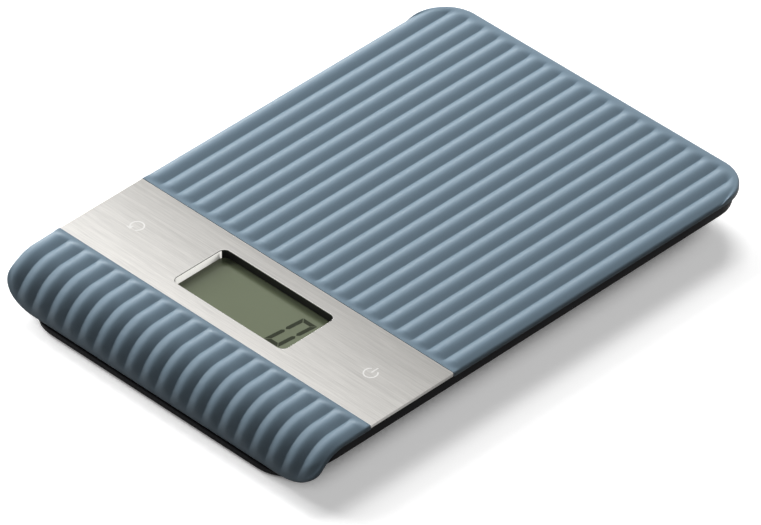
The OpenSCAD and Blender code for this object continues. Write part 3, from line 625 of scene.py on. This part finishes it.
def bar(bm, outline, flip_x, flip_y):
    """Add one bar of the digit, mirrored over its middle, with the thickness of its ink."""
    digit_mid = digit_width / 2
    corners = [(digit_mid + flip_x * (x - digit_mid), digit_half + flip_y * (y - digit_half))
               for x, y in outline]
    face = bm.faces.new([bm.verts.new((x, y, glass_z)) for x, y in corners])
    if face.normal.z < 0:
        face.normal_flip()
    top = bmesh.ops.extrude_face_region(bm, geom=[face])["geom"]
    bmesh.ops.translate(bm, vec=(0, 0, print_rise), verts=verts_of(top))


end_bar = [(digit_gap, 0), (digit_width - digit_gap, 0),
           (digit_width - digit_stroke - digit_gap, digit_stroke),
           (digit_stroke + digit_gap, digit_stroke)]
side_end = digit_half - digit_gap
side_bar = [(0, digit_gap), (digit_stroke, digit_stroke + digit_gap),
            (digit_stroke, side_end - digit_bevel), (digit_stroke / 2, side_end),
            (0, side_end - digit_bevel)]
digit = bmesh.new()
for flip_y in (1, -1):
    bar(digit, end_bar, 1, flip_y)
    for flip_x in (1, -1):
        bar(digit, side_bar, flip_x, flip_y)
for v in digit.verts:
    v.co.x += digit_left + v.co.y * digit_slant
    v.co.y += digit_front
bmesh.ops.recalc_face_normals(digit, faces=digit.faces)
new_piece("lcd_digit_segments", digit, segment_ink, "scale")

# Circuit board
# A green glass-fibre board screwed up to the cover, with the bare chip under black resin,
# a memory chip, two small capacitors and the two press switches.
resin = moulded("black chip resin", (0.008, 0.008, 0.008), rough=0.25, pitch=1.5 * mm,
                depth=0.006 * mm, mottle=0.1)
capacitor_sleeve = moulded("capacitor sleeve", (0.02, 0.035, 0.16), rough=0.3, pitch=1 * mm,
                           depth=0.003 * mm, mottle=0.05)


def board_mask():
    """Green solder mask with paler tracks that show through."""
    material, tree, shader, place = new_finish("green board")
    tracks = put(tree, "TexBrick", {"Vector": place, "Scale": 90.0, "Mortar Size": 0.03,
                                    "Color1": (0.008, 0.075, 0.03, 1),
                                    "Color2": (0.010, 0.090, 0.036, 1),
                                    "Mortar": (0.02, 0.16, 0.06, 1)})
    tree.links.new(tracks.outputs["Color"], shader.inputs["Base Color"])
    shader.inputs["Roughness"].default_value = 0.3
    return material


refinish("main_board", board_mask())
refinish("controller_blob", resin)
softened("memory_chip", resin, 0.05 * mm)
softened("board_capacitors", capacitor_sleeve, 0.3 * mm)
screws("board_cross_head_screws", "board_screws", small_screw_d, small_head_h, -1)

# Press keys
# A switch with a square black housing and a pale stem stands under each end of the steel
# band. A moulded pin in the cover carries the fingertip's push from the steel to the stem.
switch_black = moulded("switch housing", (0.012, 0.012, 0.013), rough=0.4, pitch=0.5 * mm,
                       depth=0.005 * mm, mottle=0.1)
stem_ivory = moulded("switch stem", (0.6, 0.57, 0.48), rough=0.4, pitch=0.6 * mm,
                     depth=0.003 * mm, mottle=0.04)
pin_white = moulded("key pin", (0.72, 0.72, 0.69), rough=0.45, pitch=0.6 * mm,
                    depth=0.003 * mm, mottle=0.04)
for key in ("unit", "tare"):
    softened(key + "_switch_housing", switch_black, 0.15 * mm)
    softened(key + "_switch_stem", stem_ivory, 0.15 * mm)
    softened(key + "_key_pin", pin_white, 0.15 * mm)

# Top cover
# One satin grey-blue moulding with twenty ribs that run front to back. In front of the
# steel band it bends down over the nose. Posts under it take the case and board screws.
cover_blue = (0.150, 0.217, 0.274)
cover_low, cover_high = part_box("top_cover")
steel_low, steel_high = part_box("steel_fascia")
half_w = cover_high.x
far_y = cover_high.y
crest_z = cover_high.z
band_z = steel_high.z
seam_gap = 0.15 * mm
seam_front = steel_low.y - seam_gap
seam_back = steel_high.y + seam_gap
seam_row = 0.25 * mm
channel_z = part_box("fascia_adhesive")[0].z
channel_x = steel_high.x - 0.7 * mm
cover_t = 2.6 * mm
under_z = crest_z - cover_t
nose_flat = 14 * mm
nose_r = 18 * mm
nose_drop = 16.5 * mm
nose_y = cover_low.y + nose_r
nose_z = crest_z - nose_r
nose_angle = math.acos((band_z - nose_drop - nose_z) / nose_r)
nose_end = nose_flat + nose_r * nose_angle
corner_r = 17 * mm
nose_corner = (18 * mm, 12.5 * mm)
edge_round = 0.8 * mm
rib_count = 20
rib_depth = 1.2 * mm
rib_pitch = 2 * half_w / rib_count
flank_slope = 0.45
crest_round = ((flank_slope * rib_pitch / 2) ** 2 - rib_depth ** 2) / 2 / rib_depth
rib_margin = 0.9 * mm
rib_fade = 3.6 * mm
far_margin = 2.2 * mm
far_fade = 4.4 * mm
far_drop = 0.25 * mm
valley_fillet = 0.2 * mm
end_margin = 1.2 * mm
end_fade = 7 * mm
sag_start = 6 * mm
nose_sag = 0.55 * mm
crest_rise = crest_z - band_z


def eased(t):
    """A share from 0 to 1 that starts and ends softly."""
    t = max(0, min(1, t))
    return t * t * (3 - 2 * t)


def rib_drop(x):
    """How far the surface lies below the crests: a round crest, near straight flanks and
    a narrow filleted valley."""
    u = abs((x + half_w) % rib_pitch - rib_pitch / 2)
    start = rib_pitch / 2 - valley_fillet
    drop = math.hypot(crest_round, flank_slope * min(u, start)) - crest_round
    past = max(0, u - start)
    slope = flank_slope ** 2 * start / math.hypot(crest_round, flank_slope * start)
    return drop + slope * (past - past ** 2 / 2 / valley_fillet)


def past_corner(x, across):
    """How far x lies beyond the start of a corner that is this wide."""
    return max(0, abs(x) - half_w + across)


def trimmed(x, across=corner_r, along=corner_r):
    """How much shorter the sheet is at x, because of its round or oval corners."""
    return along - along * math.sqrt(max(0, 1 - (past_corner(x, across) / across) ** 2))


def edge_distance(x, e, across=corner_r, along=corner_r):
    """Distance from the sheet's edge, where e is measured from the end along the sheet."""
    inward = e + trimmed(x, across, along)
    side = past_corner(x, across) / across
    end = 1 - inward / along
    if side > 0 and end > 0:
        out = math.hypot(side, end)
        return max(0, (1 - out) * out / math.hypot(side / across, end / along))
    return min(half_w - abs(x), inward)


def drop_at(x, rib_share, edge, plain=crest_rise):
    """Depth of the surface below the crests' level, plain where the ribs have faded out."""
    inward = max(0, edge_round - edge)
    rounding = edge_round - math.sqrt(edge_round ** 2 - inward ** 2)
    return plain * (1 - rib_share) + rib_drop(x) * rib_share + rounding


def bent(x, s, drop):
    """A point of the sheet at distance s in front of the band, bent over the nose. The bend
    starts softly, as the sheet sags a little between its flat part and its lower edge."""
    part = max(0, min(1, (s - sag_start) / (nose_end - sag_start)))
    drop += nose_sag * math.sin(math.pi * part) ** 2
    if s <= nose_flat:
        return Vector((x, seam_front - s, crest_z - drop))
    angle = (s - nose_flat) / nose_r
    radius = nose_r - drop
    return Vector((x, nose_y - radius * math.sin(angle), nose_z + radius * math.cos(angle)))


def surface_point(x, row):
    """The top surface of the cover at x, in one of the rows from the far edge to the nose."""
    zone, d = row
    side = half_w - abs(x)
    share = eased((d - rib_margin) / rib_fade)
    front_end = nose_end - trimmed(x, *nose_corner)
    if zone == "far":
        share = eased((d - far_margin) / far_fade)
        drop = drop_at(x, share, edge_distance(x, d), far_drop)
        return Vector((x, far_y - trimmed(x) - d, crest_z - drop))
    if zone == "behind":
        return Vector((x, seam_back + d, crest_z - drop_at(x, share, side)))
    if zone == "channel":
        return Vector((max(-channel_x, min(channel_x, x)), d, channel_z))
    if zone == "ahead":
        return bent(x, d, drop_at(x, share, side))
    if zone == "nose":
        s = nose_flat + (front_end - edge_round - nose_flat) * d
    else:
        s = front_end - d
    share = eased((front_end - s - end_margin) / end_fade)
    return bent(x, s, drop_at(x, share, edge_distance(x, front_end - s, *nose_corner)))


def underside_point(point):
    """The point straight under the surface, on the sheet's smooth inner face."""
    if point.y >= nose_y:
        return Vector((point.x, point.y, under_z))
    out = Vector((point.y - nose_y, point.z - nose_z)).normalized() * (nose_r - cover_t)
    return Vector((point.x, nose_y + out.x, nose_z + out.y))


# The mesh's columns are closest at the sharp valleys and at the cover's rounded sides, and
# its rows at the edges, beside the band and where the ribs fade out.
half_shares = [0, 0.008, 0.016, 0.024, 0.07, 0.14, 0.21, 0.29, 0.37, 0.46]
rib_shares = half_shares + [1 - share for share in half_shares[:0:-1]]
rib_columns = [(i + t) * rib_pitch - half_w for i in range(rib_count) for t in rib_shares]
side_angles = [math.radians(a) for a in range(90, 60, -3)]
side_columns = [half_w - corner_r + corner_r * math.sin(a) for a in side_angles]
column_gap = 0.1 * mm
columns = sorted([x for x in rib_columns if abs(x) < side_columns[-1] - column_gap]
                 + side_columns + [-x for x in side_columns])
lip_parts = 5
fade_parts = 8
far_parts = 10
nose_parts = 26
lip_steps = [edge_round * (1 - math.cos(math.pi / 2 * k / lip_parts))
             for k in range(lip_parts + 1)]
fade_steps = [rib_margin + rib_fade * k / fade_parts for k in range(fade_parts + 1)]
far_steps = [far_margin + far_fade * k / far_parts for k in range(far_parts + 1)]
window_mid = middle(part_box("lcd_window_frame"))
opening_w = 65.4 * mm
opening_l = 32.8 * mm
rows = ([("far", d) for d in lip_steps + far_steps]
        + [("behind", d) for d in fade_steps[::-1] + [seam_row, 0]]
        + [("channel", y) for y in (seam_back, window_mid.y + opening_l / 2,
                                    window_mid.y - opening_l / 2, seam_front)]
        + [("ahead", d) for d in [0, seam_row] + fade_steps + [nose_flat]]
        + [("nose", k / nose_parts) for k in range(1, nose_parts + 1)]
        + [("lip", d) for d in lip_steps[-2::-1]])

cover = bmesh.new()
bmesh.ops.create_grid(cover, x_segments=len(columns) - 1, y_segments=len(rows) - 1, size=1)
for v in cover.verts:
    column = round((v.co.x + 1) / 2 * (len(columns) - 1))
    row = round((v.co.y + 1) / 2 * (len(rows) - 1))
    v.co = surface_point(columns[column], rows[row])
hole = [f for f in cover.faces
        if abs(f.calc_center_median().x - window_mid.x) < opening_w / 2
        and abs(f.calc_center_median().y - window_mid.y) < opening_l / 2]
bmesh.ops.delete(cover, geom=hole, context="FACES")
bmesh.ops.remove_doubles(cover, verts=cover.verts, dist=weld / 2)
doubled = bmesh.ops.extrude_face_region(cover, geom=cover.faces[:] + cover.edges[:],
                                        use_keep_orig=True)["geom"]
for v in verts_of(doubled):
    v.co = underside_point(v.co)
bmesh.ops.recalc_face_normals(cover, faces=cover.faces)

post_root = 0.3 * mm
post_top = under_z + post_root
case_post = (3.25 * mm, 1.35 * mm)
case_post_z = 8.1 * mm
board_post = (2.75 * mm, 1.05 * mm)
board_post_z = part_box("main_board")[1].z + 0.05 * mm
key_guide = (3.55 * mm, 2.05 * mm)
key_guide_rise = 1.2 * mm


def add_post(bm, box, radii, end):
    """Add one hollow post that hangs under the cover over the middle of a box."""
    outer, bore = radii
    post = turned([(bore, post_top), (bore, end), (outer, end), (outer, post_top),
                   (bore, post_top)], steps=32)
    bmesh.ops.translate(post, verts=post.verts, vec=(*middle(box).xy, 0))
    join_in(bm, post)


for box in loose_boxes("case_screws"):
    add_post(cover, box, case_post, case_post_z)
for box in loose_boxes("board_screws"):
    add_post(cover, box, board_post, board_post_z)
for key in ("unit", "tare"):
    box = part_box(key + "_key_pin")
    add_post(cover, box, key_guide, box[0].z + key_guide_rise)

stiff_count = 4
stiff_pitch = 32 * mm
stiff_t = 0.7 * mm
stiff_h = 2 * mm
stiff_front = seam_back + 4 * mm
stiff_back = far_y - 1.7 * mm - corner_r
stiff_side = half_w - 15.3 * mm


def add_stiffener(bm, x0, x1, y0, y1):
    """Add one stiffening rib under the cover."""
    made = bmesh.ops.create_cube(bm, size=1)["verts"]
    size = Matrix.Diagonal((x1 - x0, y1 - y0, post_top - under_z + stiff_h, 1))
    centre = Vector(((x0 + x1) / 2, (y0 + y1) / 2, (post_top + under_z - stiff_h) / 2))
    bmesh.ops.transform(bm, matrix=Matrix.Translation(centre) @ size, verts=made)


for k in range(stiff_count):
    x = (k - (stiff_count - 1) / 2) * stiff_pitch
    y = stiff_front + (stiff_back - stiff_front) * k / (stiff_count - 1)
    add_stiffener(cover, x - stiff_t, x + stiff_t, stiff_front, stiff_back)
    add_stiffener(cover, -stiff_side, stiff_side, y - stiff_t, y + stiff_t)

cover_plastic = moulded("grey-blue cover plastic", cover_blue, rough=0.42, pitch=0.5 * mm,
                        depth=0.006 * mm, mottle=0.05, specular=0.35)
soft_touch = cover_plastic.node_tree.nodes["Principled BSDF"].inputs
soft_touch["Sheen Weight"].default_value = 0.6
soft_touch["Sheen Roughness"].default_value = 0.3
cover = new_piece("top_cover_ribbed", cover, cover_plastic, "scale", sharp=35)
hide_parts("top_cover")

# Steel band
# A thin sheet of brushed stainless steel, glued into the cover's channel. Its ends are
# bent down over the cover's sides, and the key symbols are printed on it in pale ink.
steel_warm = (0.538, 0.526, 0.504)
# Painted reflection and shade on the steel: its colour is scaled up towards the front and left
# and down towards the rear and right.
front_painted_light = 1.36
rear_painted_light = 0.86
left_painted_light = 1.14
right_painted_light = 0.9
adhesive = moulded("adhesive sheet", (0.7, 0.7, 0.64), rough=0.7, pitch=0.5 * mm,
                   depth=0.004 * mm, mottle=0.05)
band_steel = metal("brushed stainless steel", steel_warm, rough=0.34,
                   stretch=(90, 4200, 4200), depth=0.0015 * mm, contrast=0.45)
# The steel's bevelled rim is smoother and much paler than the sheet: partly a real polished edge,
# partly a painted highlight along the rim.
edge_steel_painted_highlight = metal("polished steel edge, painted highlight", (0.88, 0.87, 0.85), rough=0.2,
                   stretch=(900, 900, 900), depth=0.001 * mm, contrast=0.05)


def mapped(tree, value, start, end, first, last, **settings):
    """A value that goes from first to last as the given one goes from start to end."""
    return put(tree, "MapRange", {0: value, 1: start, 2: end, 3: first, 4: last},
               **settings).outputs[0]


def paint_light_across(material, low, high):
    """Paint light into the sheet's colour: a painted reflection makes it brighter towards its
    front left, and painted shade makes it darker towards its rear right."""
    tree = material.node_tree
    base = tree.nodes["Principled BSDF"].inputs["Base Color"]
    place = put(tree, "SeparateXYZ", {0: put(tree, "TexCoord").outputs["Object"]}).outputs
    along = mapped(tree, place["Y"], low.y, high.y, front_painted_light, rear_painted_light)
    across = mapped(tree, place["X"], low.x, high.x, left_painted_light, right_painted_light)
    colour = base.links[0].from_socket
    painted_light_colour = put(tree, "VectorMath", {0: colour, "Scale": maths(tree, "MULTIPLY", along, across)},
                 operation="SCALE")
    tree.links.new(painted_light_colour.outputs[0], base)


refinish("fascia_adhesive", adhesive)
# The steel's colour carries painted light: a painted reflection at its front left and painted
# shade at its rear right.
paint_light_across(band_steel, steel_low, steel_high)
band = softened("steel_fascia", band_steel, 0.18 * mm)
# The bevel faces take the pale rim material, with its painted highlight.
band.data.materials.append(edge_steel_painted_highlight)
band.modifiers["edges"].material = 1

# Key symbols
# Thin pale ink, screen printed on the steel over the two keys: a turning arrow at the left
# and a ring with a bar at the right.
symbol_ink = moulded("pale symbol ink", (0.80, 0.79, 0.77), rough=0.6, pitch=0.4 * mm,
                     depth=0.002 * mm, mottle=0.02)
symbol_r = 3.1 * mm
symbol_stroke = 0.65 * mm
symbol_y = -67.8 * mm
arc_steps = 40
unit_x = -64.4 * mm
unit_arc = (-60, 225)
arrow_half = 1.5 * mm
arrow_l = 1.9 * mm
tare_x = 63 * mm
tare_arc = (125, 415)
tare_bar = (0.4 * mm, 4.1 * mm)


def printed_arc(x, y, angles):
    """A flat part of a ring between two angles in degrees, counted from +X."""
    start, end = (math.radians(angle) for angle in angles)
    bm = bmesh.new()
    ends = [bm.verts.new((r, 0, 0)) for r in (symbol_r - symbol_stroke, symbol_r)]
    line = bm.edges.new(ends)
    bmesh.ops.rotate(bm, verts=ends, matrix=Matrix.Rotation(start, 3, "Z"), cent=(0, 0, 0))
    bmesh.ops.spin(bm, geom=ends + [line], axis=(0, 0, 1), cent=(0, 0, 0), angle=end - start,
                   steps=arc_steps)
    bmesh.ops.translate(bm, verts=bm.verts, vec=(x, y, 0))
    return bm


def symbol(name, bm, outline):
    """Add one flat face to a symbol, give it the thickness of its ink and lay it on the steel."""
    bm.faces.new([bm.verts.new((x, y, 0)) for x, y in outline])
    bmesh.ops.recalc_face_normals(bm, faces=bm.faces)
    for f in bm.faces:
        if f.normal.z < 0:
            f.normal_flip()
    top = bmesh.ops.extrude_face_region(bm, geom=bm.faces[:] + bm.edges[:],
                                        use_keep_orig=True)["geom"]
    bmesh.ops.translate(bm, vec=(0, 0, print_rise), verts=verts_of(top))
    bmesh.ops.translate(bm, vec=(0, 0, band_z), verts=bm.verts)
    bmesh.ops.recalc_face_normals(bm, faces=bm.faces)
    new_piece(name, bm, symbol_ink, "scale")


ring_mid = symbol_r - symbol_stroke / 2
arrow_turn = Matrix.Rotation(math.radians(unit_arc[1]), 2)
arrow = [arrow_turn @ Vector(p) for p in ((ring_mid - arrow_half, 0), (ring_mid + arrow_half, 0),
                                          (ring_mid, arrow_l))]
symbol("unit_symbol_print", printed_arc(unit_x, symbol_y, unit_arc),
       [(unit_x + p.x, symbol_y + p.y) for p in arrow])
half_bar = symbol_stroke / 2
bar_low, bar_high = (symbol_y + reach for reach in tare_bar)
symbol("tare_symbol_print", printed_arc(tare_x, symbol_y, tare_arc),
       [(tare_x - half_bar, bar_low), (tare_x + half_bar, bar_low),
        (tare_x + half_bar, bar_high), (tare_x - half_bar, bar_high)])

# Case screws
# Eight zinc-plated pan-head screws go in from below, deep in the tub's round recesses,
# and cut their own thread in the cover's posts.
case_screw_d = 2.6 * mm
case_head_h = 1.8 * mm
screws("case_cross_head_screws", "case_screws", case_screw_d, case_head_h, -1)

# Table and light
# A white table under two large soft lamps, at the left and the back left, with a low white
# card that only glossy surfaces mirror. The table and the room show white to the eye and to
# reflections, and stay dim as light sources.
table_white = (0.95, 0.95, 0.95, 1)
table_dim = (0.06, 0.06, 0.06, 1)
table_size = 4
table_glow = 0.48
table_mirrored = 0.6
contact_reach = 50 * mm
contact_open = (0.10, 0.345)
contact_share = 0.05
room_light = 0.035
lens = 411.56
camera_place = (1.87129, -1.86801, 2.08312)
camera_down = 38.223
camera_turn = 45.045


def seen_directly(tree, mirrored=1.0):
    """1 for rays from the eye or through glass, a given share for reflections, 0 for the rest."""
    rays = put(tree, "LightPath").outputs
    glossy = maths(tree, "MULTIPLY", rays["Is Glossy Ray"], mirrored)
    first = maths(tree, "MAXIMUM", rays["Is Camera Ray"], glossy)
    return maths(tree, "MAXIMUM", first, rays["Is Transmission Ray"])


def table_finish():
    """White and softly glowing to the eye, with a darker contact shadow, and dim as a source."""
    material = bpy.data.materials.new("white table")
    material.use_nodes = True
    tree = material.node_tree
    tree.nodes.remove(tree.nodes["Principled BSDF"])
    lit = put(tree, "BsdfDiffuse", {"Color": table_white}).outputs[0]
    openness = put(tree, "AmbientOcclusion", {"Distance": contact_reach}, samples=8)
    contact = mapped(tree, openness.outputs["AO"], *contact_open, contact_share * table_glow,
                     table_glow, interpolation_type="SMOOTHSTEP")
    glow = put(tree, "Emission", {"Strength": contact}).outputs[0]
    bright = put(tree, "AddShader", {0: lit, 1: glow}).outputs[0]
    dim = put(tree, "BsdfDiffuse", {"Color": table_dim}).outputs[0]
    shown = seen_directly(tree, table_mirrored)
    chosen = put(tree, "MixShader", {0: shown, 1: dim, 2: bright}).outputs[0]
    tree.links.new(chosen, tree.nodes["Material Output"].inputs["Surface"])
    return material


table_top = bmesh.new()
bmesh.ops.create_grid(table_top, x_segments=1, y_segments=1, size=table_size)
table_mesh = bpy.data.meshes.new("table")
table_top.to_mesh(table_mesh)
table_top.free()
table = bpy.data.objects.new("table", table_mesh)
bpy.context.scene.collection.objects.link(table)
table.data.materials.append(table_finish())

world = bpy.data.worlds.new("white room")
bpy.context.scene.world = world
world.use_nodes = True
background = world.node_tree.nodes["Background"].inputs
level = mapped(world.node_tree, seen_directly(world.node_tree), 0, 1, room_light, 1.0)
world.node_tree.links.new(level, background["Strength"])
background["Color"].default_value = (1, 1, 1, 1)


def soft_lamp(name, direction, distance, size, power):
    """An area lamp that points at the scale. It starts square and hidden from reflections."""
    light = bpy.data.lights.new(name, "AREA")
    light.size = size
    light.energy = power
    lamp = bpy.data.objects.new(name, light)
    lamp.visible_glossy = False
    away = Vector(direction).normalized()
    facing = away.to_track_quat("Z", "Y").to_matrix().to_4x4()
    lamp.matrix_world = Matrix.Translation(away * distance) @ facing
    bpy.context.scene.collection.objects.link(lamp)
    return lamp


soft_lamp("lamp_back_left", (-0.6, 0.75, 1), distance=2.4, size=1.0, power=40.5)
soft_lamp("lamp_left", (-1, 0.08, 0.48), distance=1.6, size=1.1, power=37)
card = soft_lamp("card_back_left", (-0.83, 0.556, 0.11), distance=1.6, size=0.9, power=4.2)
card.data.shape = "RECTANGLE"
card.data.size_y = 0.3
card.visible_glossy = True
card.visible_diffuse = False

view = bpy.data.cameras.new("camera")
view.lens = lens
view.sensor_width = 36
camera = bpy.data.objects.new("camera", view)
camera.location = camera_place
camera.rotation_euler = (math.radians(90 - camera_down), 0, math.radians(camera_turn))
bpy.context.scene.collection.objects.link(camera)
bpy.context.scene.camera = camera
bpy.context.scene.view_settings.view_transform = "Standard"
